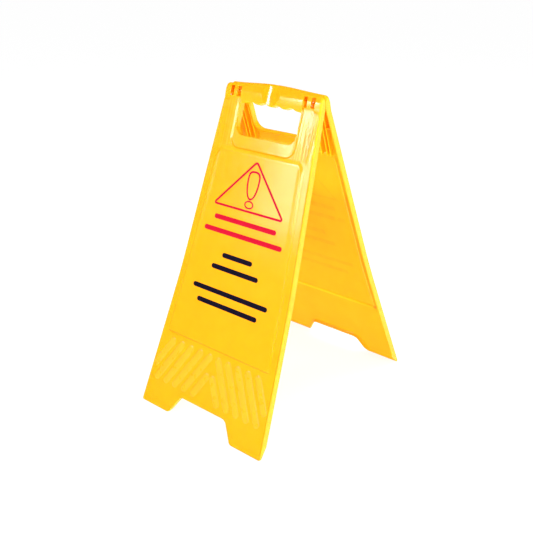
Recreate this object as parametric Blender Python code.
"""Folding wet floor sign: two identical moulded panels that snap together on an integral hinge.

Metres, +Z up. Origin on the floor, midway between the feet; X runs along the width,
the front panel faces -Y, the rear panel faces +Y. The sign is modelled open.

Each panel is drawn in its own frame, which sits on the hinge axis:
  u  across the panel (local X),
  v  down the panel from the nominal top edge (local Z = HINGE_V - v),
  w  out of the panel from the parting plane (local Y = -w).
"""
from contextlib import contextmanager
from math import sin, cos, pi, radians, sqrt, atan2, tan

import bpy
import bmesh
from mathutils import Matrix, Vector

# ---------------------------------------------------------------- panel dimensions
PANEL_L = 0.620          # panel length, top edge to foot
HALF_TOP = 0.1068        # half width at the top edge
HALF_FOOT = 0.1513       # half width at the foot
DEPTH = 0.0133           # flange depth, parting plane to outer face
WALL = 0.0024            # moulded wall
PLATE_BACK = DEPTH - WALL
PART_GAP = 0.0002        # flange edge stands back from the parting plane
SPLAY = radians(18.88)   # each panel from vertical when open
HINGE_V = 0.0155         # hinge axis below the top edge
HINGE_H = 0.5635         # hinge axis above the floor

TOP_RISE = 0.0018        # the top edge stands this far above v = 0
ARCH = 0.0063            # further rise of the handle's top edge in the middle
ARCH_HALF = 0.110        # half span of the arch's cosine
ARCH_U = [u / 1000 for u in range(-84, 85, 12)]
TOP_R = 0.006            # top corners
FOOT_R = 0.007           # foot corners
FOOT_SPARE = 0.004       # extra length, trimmed level at the floor
CUT_V = 0.5835           # arch between the feet: its top edge
CUT_HALF_TOP = 0.0565
CUT_HALF_FOOT = 0.0783
CUT_R = 0.0058
TAPER_V = 0.588          # the flange thins from here down to the foot
TAPER_W = (-0.003, 0.0165)       # the taper cutter's range
RIM_HALF = 0.0843        # low flange around the arch between the feet
RIM_V = 0.5740
RIM_W = 0.0052

HOLE_HALF = 0.068        # hand hole
HOLE_TOP = 0.02775
HOLE_BOTTOM = 0.086
HOLE_R = 0.017
FINGER_PITCH = 0.030
FINGER_HALF = 2 * FINGER_PITCH   # half span of the finger grooves
FINGER_DEPTH = 0.00175   # half the height of the finger grooves
FINGER_STEPS = 40

BAR_PROUD = 0.0009       # handle bar stands proud of the plate
BAR_ROOT = 0.0016        # and is sunk this far into it
BAR_V = 0.0275           # lower edge of the bar outside the slots
BAR_V_SLOT = 0.0215      # lower edge of the bar under the slots
BAR_SIDE_IN = 0.0012     # bar face in from the panel's sides
BAR_TOP_IN = 0.0010      # and from its top edge
BAR_SLOT_MARGIN = 0.0008
SLOT_V = (0.0025, 0.0210)
SLOTS = ((0.0700, 0.0785), (0.0865, 0.0950))    # u range, mirrored
SCOOP_U = -0.0045        # thumb scoop in the bar's face
SCOOP_V = 0.010
SCOOP_HALF = 0.022
SCOOP_HALF_HEIGHT = 0.024
SCOOP_DEEP = 0.0016
SCOOP_MARGIN = 0.002     # the cutter's shoulders: sideways
SCOOP_LIFT = 0.0003      # and above the bar's face

PAD_HALF = 0.073         # sunk U around the hand hole
PAD_V = 0.110
PAD_R = 0.020
PAD_SUNK = 0.0009
PAD_BACK_GROW = 0.001    # its back is this much wider

FIELD_IN = 0.014         # raised print field, in from the panel's edge
FIELD_V = (0.1125, 0.4720)
FIELD_R = (0.012, 0.005) # upper and lower corners
FIELD_PROUD = 0.0010
FIELD_BACK_IN = 0.0006   # the hollow behind is smaller by this
FIELD_BACK_LESS = 0.0002 # and shallower by this

RIB_V = (0.4830, 0.5700) # raised chevron ribs above the feet
RIB_PITCH = 0.024
RIB_FIRST_U = 0.0108     # upper end of rib 0
RIB_WIDE = 0.012
RIB_LEAN = 0.57          # u per v
RIB_MIDDLE_GAP = 0.0015  # least gap from a rib's side to the middle line
RIB_LIMIT_U = HALF_TOP + (HALF_FOOT - HALF_TOP) * 0.54 / PANEL_L - FIELD_IN * 0.75
RIB_PROUD = 0.0009

WEB_U = (0.0765, 0.0885, 0.0960)   # stiffening webs inside, beside the hand hole
WEB_T = 0.0016
WEB_TOP_V = 0.0280
WEB_FIELD_GAP = 0.0004   # webs end this far above the print field
WEB_W = 0.0040           # inner edge of the webs
TIE_V = 0.057            # cross tie from the last web to the flange
TIE_W = 0.0043

JOIN = 0.0006            # overlap of a part into the plate it is joined to
THIN_JOIN = 0.0004
OVER = 0.004             # cutters run past the outer face by this
BEHIND = 0.002           # and past the plate's back by this
THROUGH = 0.006          # through cutters, past either face
HOLLOW_OVER = 0.005
PAST_FOOT_V = 0.640
CUTTER_WIDTH = 0.4

# ---------------------------------------------------------------- hinge and stop dimensions
STOP_GAP = 0.00015       # each stop face from the middle plane when open
STOP_SIZE = 0.06         # height and depth of the stop cutter
STOP_RISE = 0.0002       # the stop cutter starts this far above the hinge axis
REST_V = (-0.0016, 0.0090)       # bearing plate
REST_OUT = (-0.0012, 0.0018)     # its faces, outwards from the middle plane when open
ROD_R = 0.0030           # hinge rod, running clearance to the hook below
ROD_U = (0.0690, 0.0960)
ROD_SHORT = 0.001        # rod shorter than the span over its ears
EAR_T = 0.0024
EAR_R = 0.0042
EAR_ROOT_HALF = 0.0052   # half height where the ear meets the plate
HOOK_R_IN = 0.00335
HOOK_R_OUT = 0.0056
HOOK_U = (0.0790, 0.0860)
HOOK_ARC = (radians(-35), radians(230))   # from +w (out) towards up
HOOK_STEPS = 20
HOOK_ARM = (             # w, v below the hinge axis
    (PLATE_BACK + JOIN, -0.0075), (PLATE_BACK + JOIN, 0.0030),
    (0.0046, 0.0012), (0.0040, -0.0038),
)
FLOOR_CUT = (0.8, 0.05)  # depth and height of the floor cutter

# ---------------------------------------------------------------- bow of the lower half
BOW_V = 0.3511           # the lower half kicks outwards, softly, from here down
BOW_SOFT = 0.03
BOW_RATE = 0.02798       # half the kick-out slope
BOW_CUTS = (0.27, 0.30, 0.318, 0.333, 0.345, 0.357, 0.370, 0.386, 0.410, 0.445, 0.50, 0.56)

# ---------------------------------------------------------------- print dimensions
INK_GAP = 0.0003         # print film above the field
INK_T = 0.0003
LINE = 0.0014            # half the width of a drawn line
TRIANGLE = (             # u, v, corner radius at the middle of the line
    (0.0004, 0.1268, 0.0045), (0.0812, 0.2148, 0.0024), (-0.0804, 0.2148, 0.0024),
)
MARK_U = 0.0008          # middle of the exclamation mark and its dot
DROP_V = 0.1600          # widest level of the exclamation mark
DROP_HALF = 0.0127
DROP_HEAD = 0.0155       # its reach above and below that level
DROP_TAIL = 0.0330
DROP_POWER = 0.6667      # below 1: a square-shouldered head
DOT_V = 0.2030
DOT_RADII = ((0.0105, 0.0074), (0.0078, 0.0047))   # (u, v) radii, outer and inner edge
BAR_HALF = 0.0045        # half the height of a plain bar
BARS = {                 # half length, v
    "red": ((0.073, 0.2375), (0.092, 0.2615)),
    "black": ((0.036, 0.3025), (0.056, 0.3265), (0.090, 0.3700), (0.073, 0.3935)),
}

YELLOW = (1.0, 0.60, 0.015, 1.0)
RED = (0.95, 0.010, 0.060, 1.0)
BLACK = (0.008, 0.006, 0.025, 1.0)

# ---------------------------------------------------------------- scene
for old_object in list(bpy.data.objects):
    bpy.data.objects.remove(old_object, do_unlink=True)

SIGN = bpy.data.collections.new("wet_floor_sign")
HELPERS = bpy.data.collections.new("cutters")
bpy.context.scene.collection.children.link(SIGN)
bpy.context.scene.collection.children.link(HELPERS)


def material(name, colour, roughness):
    mat = bpy.data.materials.new(name)
    mat.use_nodes = True
    shader = mat.node_tree.nodes["Principled BSDF"]
    shader.inputs["Base Color"].default_value = colour
    shader.inputs["Roughness"].default_value = roughness
    shader.inputs["Metallic"].default_value = 0.0
    return mat


# ---------------------------------------------------------------- outline tools (u, v)
def fillet(corners, steps=5):
    """Polygon of (u, v, radius) as points, with each corner rounded."""
    points = []
    for i, (x, y, radius) in enumerate(corners):
        if radius <= 0:
            points.append((x, y))
            continue
        corner = Vector((x, y))
        back = (Vector(corners[i - 1][:2]) - corner).normalized()
        ahead = (Vector(corners[(i + 1) % len(corners)][:2]) - corner).normalized()
        half_angle = back.angle(ahead) / 2
        reach = radius / tan(half_angle)
        centre = corner + (back + ahead).normalized() * (radius / sin(half_angle))
        start = corner + back * reach - centre
        end = corner + ahead * reach - centre
        start_angle = atan2(start.y, start.x)
        turn = (atan2(end.y, end.x) - start_angle + pi) % (2 * pi) - pi
        for k in range(steps + 1):
            angle = start_angle + turn * k / steps
            points.append((centre.x + radius * cos(angle), centre.y + radius * sin(angle)))
    return points


def inset(corners, distance):
    """Polygon of (u, v, radius), clockwise with v down: every edge moved inwards."""
    count = len(corners)
    edges = []
    for i in range(count):
        start, end = Vector(corners[i][:2]), Vector(corners[(i + 1) % count][:2])
        along = (end - start).normalized()
        edges.append((start + Vector((-along.y, along.x)) * distance, along))
    moved = []
    for i in range(count):
        (start, along), (next_start, next_along) = edges[i - 1], edges[i]
        cross = along.x * next_along.y - along.y * next_along.x
        if abs(cross) < 1e-9:
            hit = next_start
        else:
            gap = next_start - start
            hit = start + along * ((gap.x * next_along.y - gap.y * next_along.x) / cross)
        radius = corners[i][2]
        if radius > 0:                       # a hollow corner grows
            radius = max(radius + distance if cross < 0 else radius - distance, 0.0)
        moved.append((hit.x, hit.y, radius))
    return moved


def rect(u0, u1, v0, v1):
    return [(u0, v0), (u1, v0), (u1, v1), (u0, v1)]


def mirrored_rects(spans, v0, v1):
    """A rectangle on both sides of the middle line for each (u0, u1)."""
    return [rect(min(side * a, side * b), max(side * a, side * b), v0, v1)
            for a, b in spans for side in (-1, 1)]


# ---------------------------------------------------------------- mesh tools
@contextmanager
def edit_mesh(mesh):
    bm = bmesh.new()
    bm.from_mesh(mesh)
    yield bm
    bm.to_mesh(mesh)
    bm.free()


def evaluated_mesh(ob):
    bpy.context.view_layer.update()
    deps = bpy.context.evaluated_depsgraph_get()
    return bpy.data.meshes.new_from_object(ob.evaluated_get(deps))


def link_object(name, mesh, collection):
    """Linked object; those in the helper collection are drawn as wire and not rendered."""
    ob = bpy.data.objects.new(name, mesh)
    collection.objects.link(ob)
    if collection is HELPERS:
        ob.hide_render = True
        ob.display_type = "WIRE"
    return ob


def extrusion(name, loops, half_depth, frame, collection=HELPERS):
    """Filled (x, y) outlines, thickened both ways along z in the given frame."""
    curve = bpy.data.curves.new(name, "CURVE")
    curve.dimensions = "2D"
    curve.fill_mode = "BOTH"
    curve.extrude = half_depth
    for loop in loops:
        spline = curve.splines.new("POLY")
        spline.points.add(len(loop) - 1)
        for point, (x, y) in zip(spline.points, loop):
            point.co = (x, y, 0.0, 1.0)
        spline.use_cyclic_u = True
    curve_ob = bpy.data.objects.new(name, curve)
    collection.objects.link(curve_ob)
    curve_ob.matrix_world = frame
    mesh = evaluated_mesh(curve_ob)
    with edit_mesh(mesh) as bm:
        bmesh.ops.remove_doubles(bm, verts=bm.verts, dist=1e-6)
        bmesh.ops.recalc_face_normals(bm, faces=bm.faces)
    placed = curve_ob.matrix_world.copy()
    bpy.data.objects.remove(curve_ob, do_unlink=True)
    solid = link_object(name, mesh, collection)
    solid.matrix_world = placed
    return solid


def bake(ob):
    """Move the object's transform into its mesh."""
    ob.data.transform(ob.matrix_world)
    ob.matrix_world = Matrix.Identity(4)
    return ob


def slab(name, loops, w0, w1, collection=HELPERS):
    """Outlines in (u, v), standing in the panel's frame from w0 to w1."""
    frame = Matrix.Translation((0, -(w0 + w1) / 2, 0)) @ Matrix.Rotation(pi / 2, 4, "X")
    flat = [[(u, HINGE_V - v) for u, v in loop] for loop in loops]
    return bake(extrusion(name, flat, (w1 - w0) / 2, frame, collection))


def prism(name, outline, u0, u1):
    """Outline in (w, v), extruded across the panel from u0 to u1."""
    # curve x -> local Y, curve y -> local Z, curve z -> local X
    turn = Matrix(((0, 0, 1, 0), (1, 0, 0, 0), (0, 1, 0, 0), (0, 0, 0, 1)))
    frame = Matrix.Translation(((u0 + u1) / 2, 0, 0)) @ turn
    flat = [(-w, HINGE_V - v) for w, v in outline]
    return bake(extrusion(name, [flat], (u1 - u0) / 2, frame))


def helper_from_bmesh(name, bm):
    mesh = bpy.data.meshes.new(name)
    bm.to_mesh(mesh)
    bm.free()
    return link_object(name, mesh, HELPERS)


def upright_box(name, size, centre):
    """Box that is level when the sign is open; centre from the hinge axis."""
    bm = bmesh.new()
    bmesh.ops.create_cube(bm, size=1.0)
    bmesh.ops.scale(bm, vec=size, verts=bm.verts)
    bm.transform(Matrix.Rotation(SPLAY, 4, "X") @ Matrix.Translation(centre))
    return helper_from_bmesh(name, bm)


def simplify(ob, weld, triangulate=False):
    """Weld and merge coplanar faces; triangles make every face exactly plane."""
    with edit_mesh(ob.data) as bm:
        bmesh.ops.remove_doubles(bm, verts=bm.verts, dist=weld)
        bmesh.ops.dissolve_limit(bm, angle_limit=radians(0.02), verts=bm.verts, edges=bm.edges)
        if triangulate:
            bmesh.ops.triangulate(bm, faces=bm.faces)


def tidy(ob):
    simplify(ob, weld=2e-6)


def combine(ob, other, operation):
    """One exact Boolean, applied."""
    for operand in (ob, other):
        simplify(operand, weld=1e-6, triangulate=True)
    mod = ob.modifiers.new(operation.lower(), "BOOLEAN")
    mod.operation = operation
    mod.solver = "EXACT"
    mod.object = other
    mesh = evaluated_mesh(ob)
    ob.modifiers.remove(mod)
    old = ob.data
    ob.data = mesh
    bpy.data.meshes.remove(old)


def join(body, other):
    combine(body, other, "UNION")


def cut(body, other):
    combine(body, other, "DIFFERENCE")


def bow(v):
    """Outward kick of the panel at v."""
    return BOW_RATE * ((v - BOW_V) + sqrt((v - BOW_V) ** 2 + BOW_SOFT ** 2))


def kick_out(ob):
    """Cut across at the bow's stations, then move every point out by the bow."""
    with edit_mesh(ob.data) as bm:
        for v in BOW_CUTS:
            geom = bm.verts[:] + bm.edges[:] + bm.faces[:]
            bmesh.ops.bisect_plane(bm, geom=geom, dist=1e-6, plane_co=(0, 0, HINGE_V - v),
                                   plane_no=(0, 0, 1))
        bmesh.ops.triangulate(bm, faces=bm.faces)
        for vert in bm.verts:
            vert.co.y -= bow(HINGE_V - vert.co.z) - bow(0.0)


# ---------------------------------------------------------------- panel outlines
def half_width(v):
    return HALF_TOP + (HALF_FOOT - HALF_TOP) * v / PANEL_L


def top_edge(side_in=0.0, down=0.0):
    """Arched top edge with its two corners, moved in from the sides and down."""
    corner_u, corner_v, radius = HALF_TOP - side_in, down - TOP_RISE, TOP_R - down
    arch = [(u, -TOP_RISE - ARCH * cos(pi * u / (2 * ARCH_HALF)) ** 2 + down, 0.0)
            for u in ARCH_U]
    return [(-corner_u, corner_v, radius)] + arch + [(corner_u, corner_v, radius)]


def panel_corners():
    low = PANEL_L + FOOT_SPARE
    foot = half_width(low)
    slope = (CUT_HALF_FOOT - CUT_HALF_TOP) / (PANEL_L - CUT_V)
    inner = CUT_HALF_TOP + slope * (low - CUT_V)
    return top_edge() + [
        (foot, low, FOOT_R), (inner, low, FOOT_R),
        (CUT_HALF_TOP, CUT_V, CUT_R), (-CUT_HALF_TOP, CUT_V, CUT_R),
        (-inner, low, FOOT_R), (-foot, low, FOOT_R)]


def hole_bottom(grow=0.0):
    side, low, radius = HOLE_HALF + grow, HOLE_BOTTOM + grow, HOLE_R + grow
    return [(side, low, radius), (-side, low, radius)]


def hole_wall_corners():
    """Outside of the wall around the hand hole, straight along the top."""
    top, side = HOLE_TOP - FINGER_DEPTH - WALL, HOLE_HALF + WALL
    return [(-side, top, 0.0), (side, top, 0.0)] + hole_bottom(WALL)


def hole_corners():
    """Hand hole with finger grooves along the top."""
    end_v = HOLE_TOP + FINGER_DEPTH
    top = [(-HOLE_HALF, end_v, 0.0)]
    for k in range(FINGER_STEPS + 1):
        u = -FINGER_HALF + 2 * FINGER_HALF * k / FINGER_STEPS
        top.append((u, HOLE_TOP + FINGER_DEPTH * cos(2 * pi * u / FINGER_PITCH), 0.0))
    return top + [(HOLE_HALF, end_v, 0.0)] + hole_bottom()


def field_corners(d=0.0):
    v0, v1 = FIELD_V[0] + d, FIELD_V[1] - d
    upper, lower = half_width(v0) - FIELD_IN - d, half_width(v1) - FIELD_IN - d
    return [(-upper, v0, FIELD_R[0]), (upper, v0, FIELD_R[0]),
            (lower, v1, FIELD_R[1]), (-lower, v1, FIELD_R[1])]


def pad_corners(grow=0.0):
    side, low, radius = PAD_HALF + grow, PAD_V + grow, PAD_R + grow
    return [(-side, BAR_V_SLOT, 0), (side, BAR_V_SLOT, 0),
            (side, low, radius), (-side, low, radius)]


def bar_corners():
    """Face of the handle bar: deeper at its two ends, outside the slots."""
    step = SLOTS[1][1] + BAR_SLOT_MARGIN
    end = half_width(BAR_V) - BAR_SIDE_IN
    return top_edge(BAR_SIDE_IN, BAR_TOP_IN) + [
        (end, BAR_V, 0), (step, BAR_V, 0), (step, BAR_V_SLOT, 0),
        (-step, BAR_V_SLOT, 0), (-step, BAR_V, 0), (-end, BAR_V, 0)]


def rib_loops():
    """Chevron of round-ended ribs, leaning out from the middle line on their way down."""
    lean = atan2(RIB_LEAN, 1.0)
    half = RIB_WIDE / 2
    loops = []
    for k in range(-1, 5):
        start = RIB_FIRST_U + RIB_PITCH * k

        def rib_u(v):
            return start + RIB_LEAN * (v - RIB_V[0] - half)

        v0, v1 = RIB_V[0] + half, RIB_V[1] - half
        if start < half:                     # begins beside the middle line
            v0 += (half + RIB_MIDDLE_GAP - start) / RIB_LEAN
        if rib_u(v1) > RIB_LIMIT_U:
            v1 -= (rib_u(v1) - RIB_LIMIT_U) / RIB_LEAN
        for side in (-1, 1):
            loop = []
            for v, first_angle in ((v0, pi), (v1, 0.0)):   # round upper and lower end
                for j in range(5):
                    angle = first_angle + pi * j / 4
                    across, along = half * cos(angle), half * sin(angle)
                    loop.append((side * (rib_u(v) + across * cos(lean) + along * sin(lean)),
                                 v - across * sin(lean) + along * cos(lean)))
            loops.append(loop)
    return loops


# ---------------------------------------------------------------- one panel moulding
def tray(name):
    """Plate with a flange all round, hollow towards the parting plane."""
    body = slab(name, [fillet(panel_corners())], PART_GAP, DEPTH, SIGN)
    hollow = [fillet(inset(panel_corners(), WALL)), fillet(hole_wall_corners())]
    cut(body, slab("hollow", hollow, -HOLLOW_OVER, PLATE_BACK))
    return body


def shape_face(body):
    """Sunk pad, handle bar, raised print field and chevron ribs."""
    # the pad is carried inwards at the same wall
    join(body, slab("pad_back", [fillet(pad_corners(PAD_BACK_GROW))],
                    PLATE_BACK - PAD_SUNK, PLATE_BACK + THIN_JOIN))
    cut(body, slab("pad_sink", [fillet(pad_corners())], DEPTH - PAD_SUNK, DEPTH + OVER))
    join(body, slab("bar_face", [fillet(bar_corners())], DEPTH - BAR_ROOT, DEPTH + BAR_PROUD))
    # the field is hollowed behind
    cut(body, slab("field_back", [fillet(field_corners(FIELD_BACK_IN))],
                   PLATE_BACK - BEHIND, PLATE_BACK + FIELD_PROUD - FIELD_BACK_LESS))
    join(body, slab("field_face", [fillet(field_corners())], DEPTH - JOIN, DEPTH + FIELD_PROUD))
    join(body, slab("ribs", rib_loops(), DEPTH - JOIN, DEPTH + RIB_PROUD))


def add_webs(body):
    webs = mirrored_rects([(u - WEB_T / 2, u + WEB_T / 2) for u in WEB_U],
                          WEB_TOP_V, FIELD_V[0] - WEB_FIELD_GAP)
    join(body, slab("webs", webs, WEB_W, PLATE_BACK + THIN_JOIN))
    ties = mirrored_rects([(WEB_U[-1], half_width(TIE_V) - WALL / 2)],
                          TIE_V - WEB_T / 2, TIE_V + WEB_T / 2)
    join(body, slab("web_ties", ties, TIE_W, PLATE_BACK + JOIN))


def thumb_scoop():
    """Cutter with a shallow cylindrical face, its axis running down the panel."""
    radius = (SCOOP_HALF ** 2 + SCOOP_DEEP ** 2) / (2 * SCOOP_DEEP)
    face = DEPTH + BAR_PROUD
    spread = atan2(SCOOP_HALF, radius - SCOOP_DEEP)
    left = SCOOP_U - SCOOP_HALF - SCOOP_MARGIN
    right = SCOOP_U + SCOOP_HALF + SCOOP_MARGIN
    outline = [(left, face + OVER), (left, face + SCOOP_LIFT)]      # u, w
    for k in range(9):
        angle = -spread + 2 * spread * k / 8
        outline.append((SCOOP_U + radius * sin(angle),
                        face - SCOOP_DEEP + radius * (1 - cos(angle))))
    outline += [(right, face + SCOOP_LIFT), (right, face + OVER)]
    return extrusion("thumb_scoop", [[(u, -w) for u, w in outline]], SCOOP_HALF_HEIGHT,
                     Matrix.Translation((0, 0, HINGE_V - SCOOP_V)))


def cut_openings(body):
    cut(body, slab("hand_hole", [fillet(hole_corners())], -THROUGH, DEPTH + THROUGH))
    cut(body, slab("slots", mirrored_rects(SLOTS, *SLOT_V), PLATE_BACK - BEHIND, DEPTH + OVER))
    cut(body, thumb_scoop())


def add_open_stop(body):
    """Bearing plate over the rod, then everything cut back to the middle plane."""
    (inner, outer), (top, low) = REST_OUT, REST_V
    rest = [((out + (HINGE_V - v) * sin(SPLAY)) / cos(SPLAY), v)
            for out, v in ((inner, low), (outer, low), (outer, top), (inner, top))]
    join(body, prism("rest", rest, *ROD_U))
    cut(body, upright_box("stop_plane", (CUTTER_WIDTH, STOP_SIZE, STOP_SIZE),
                          (0, STOP_SIZE / 2 - STOP_GAP, STOP_SIZE / 2 + STOP_RISE)))


def thin_foot_flange(body):
    """Flange tapered towards the foot and low around the arch between the feet."""
    behind, front = TAPER_W
    taper = [(behind, TAPER_V), (behind, PAST_FOOT_V), (front, PAST_FOOT_V)]
    cut(body, prism("flange_taper", taper, -CUTTER_WIDTH / 2, CUTTER_WIDTH / 2))
    cut(body, slab("low_rim", [rect(-RIM_HALF, RIM_HALF, RIM_V, PAST_FOOT_V)], -THROUGH, RIM_W))


def add_rod(body):
    """Rod end of the hinge, on the +u side: a round rod between two ears."""
    ear = [(PLATE_BACK + JOIN, HINGE_V - EAR_ROOT_HALF),
           (PLATE_BACK + JOIN, HINGE_V + EAR_ROOT_HALF)]
    ear += [(-EAR_R * sin(pi * k / 8), HINGE_V + EAR_R * cos(pi * k / 8)) for k in range(9)]
    start, end = ROD_U
    join(body, prism("ear_in", ear, start, start + EAR_T))
    join(body, prism("ear_out", ear, end - EAR_T, end))
    rod = bmesh.new()
    placement = Matrix.Translation(((start + end) / 2, 0, 0)) @ Matrix.Rotation(pi / 2, 4, "Y")
    bmesh.ops.create_cone(rod, cap_ends=True, segments=20, radius1=ROD_R, radius2=ROD_R,
                          depth=end - start - ROD_SHORT, matrix=placement)
    join(body, helper_from_bmesh("rod", rod))


def add_hook(body):
    """Hook end, on the -u side: an open ring that snaps over the other panel's rod."""
    first, last = HOOK_ARC
    angles = [first + (last - first) * k / HOOK_STEPS for k in range(HOOK_STEPS + 1)]
    ring = [(radius * cos(angle), HINGE_V - radius * sin(angle))
            for radius, run in ((HOOK_R_OUT, angles), (HOOK_R_IN, angles[::-1]))
            for angle in run]
    arm = [(w, HINGE_V + down) for w, down in HOOK_ARM]
    join(body, prism("hook_ring", ring, -HOOK_U[1], -HOOK_U[0]))
    join(body, prism("hook_arm", arm, -HOOK_U[1], -HOOK_U[0]))


def level_foot(body):
    """Cut on the floor plane of the open sign."""
    depth, height = FLOOR_CUT
    cut(body, upright_box("floor_plane", (CUTTER_WIDTH, depth, height),
                          (0, 0, -HINGE_H - height / 2)))


def build_panel(name, plastic):
    body = tray(name)
    shape_face(body)
    add_webs(body)
    cut_openings(body)
    add_open_stop(body)
    thin_foot_flange(body)
    add_rod(body)
    add_hook(body)
    tidy(body)
    kick_out(body)
    level_foot(body)
    tidy(body)
    for poly in body.data.polygons:
        poly.use_smooth = False
    body.data.materials.clear()
    body.data.materials.append(plastic)
    return body


# ---------------------------------------------------------------- printed marks
def triangle(grow):
    return fillet(inset(TRIANGLE, -grow), 4)


def exclamation(grow, count=32):
    """Tapered drop: square-shouldered head, narrow round foot."""
    points = []
    for k in range(count):
        across, down = cos(2 * pi * k / count), sin(2 * pi * k / count)
        if down < 0:                         # head
            across = abs(across) ** DROP_POWER * (1 if across > 0 else -1)
            rise = -(DROP_HEAD + grow) * abs(down) ** DROP_POWER
        else:
            rise = (DROP_TAIL + grow) * down
        points.append((MARK_U + (DROP_HALF + grow) * across, DROP_V + rise))
    return points


def dot_edge(radius_u, radius_v, count=20):
    return [(MARK_U + radius_u * cos(2 * pi * k / count),
             DOT_V + radius_v * sin(2 * pi * k / count)) for k in range(count)]


def plain_bar(half_length, v, steps=5):
    """Round-ended bar, centred on the middle line."""
    centre = half_length - BAR_HALF
    return [(side * (centre + BAR_HALF * sin(pi * k / steps)),
             v - side * BAR_HALF * cos(pi * k / steps))
            for side in (1, -1) for k in range(steps + 1)]


def marks():
    """(name, outlines, ink) for each printed mark of one panel."""
    out = [("triangle", [triangle(LINE), triangle(-LINE)], "red"),
           ("exclamation", [exclamation(LINE), exclamation(-LINE)], "red"),
           ("dot", [dot_edge(*radii) for radii in DOT_RADII], "red")]
    for ink, bars in BARS.items():
        for number, (half_length, v) in enumerate(bars, 1):
            out.append((f"{ink}_bar_{number}", [plain_bar(half_length, v)], ink))
    return out


# ---------------------------------------------------------------- assembly
def place(side, turn, panel, inks):
    """Hang a panel and its print on a hinge axis, turned about the vertical."""
    axis = link_object(side + "_hinge_axis", None, SIGN)
    axis.location = (0, 0, HINGE_H)
    axis.rotation_euler = (-SPLAY, 0, turn)
    panel.parent = axis
    film_w = DEPTH + FIELD_PROUD + INK_GAP
    for name, loops, ink in marks():
        mark = slab(f"{side}_{name}", loops, film_w, film_w + INK_T, SIGN)
        tidy(mark)
        kick_out(mark)
        mark.data.materials.append(inks[ink])
        mark.parent = axis


yellow = material("yellow_polypropylene", YELLOW, roughness=0.28)
ink_materials = {"red": material("red_ink", RED, roughness=0.40),
                 "black": material("black_ink", BLACK, roughness=0.40)}
front_panel = build_panel("front_panel", yellow)
rear_panel = link_object("rear_panel", front_panel.data, SIGN)
place("front", 0, front_panel, ink_materials)
place("rear", pi, rear_panel, ink_materials)
bpy.context.view_layer.update()
